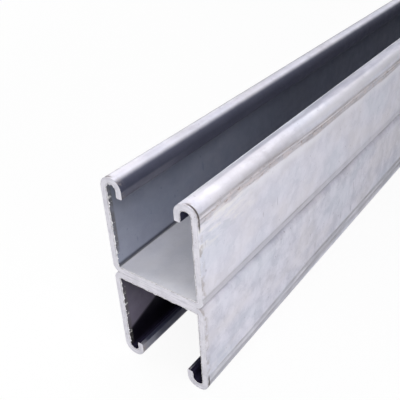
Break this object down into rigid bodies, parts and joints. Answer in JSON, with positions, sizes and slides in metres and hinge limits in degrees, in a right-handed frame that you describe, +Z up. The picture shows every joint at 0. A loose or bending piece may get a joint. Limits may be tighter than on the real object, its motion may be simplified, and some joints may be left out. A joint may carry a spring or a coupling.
{
  "type": "back-to-back strut channel",
  "caption": "Double strut channel: lipped C channels of galvanised steel, spot-welded web to web, with a lengthwise slot for channel nuts on the upper and on the lower side.",
  "frame": {"origin": "middle of the rectangle that the stock covers on the surface it rests on, under the slot of the lower channel", "axes": "+Z up, out of the upper slot; +Y along the stock; +X across it, out of one pair of walls"},
  "size_m": [0.0412, 1, 0.0826],
  "materials": {
    "galvanised_steel": "zinc-coated rolled strip: satin, softly mottled, with faint roll lines and bright sawn ends"
  },
  "bodies": {
    "root": {"upper_channel": "galvanised_steel", "lower_channel": "galvanised_steel"}
  },
  "joints": []
}
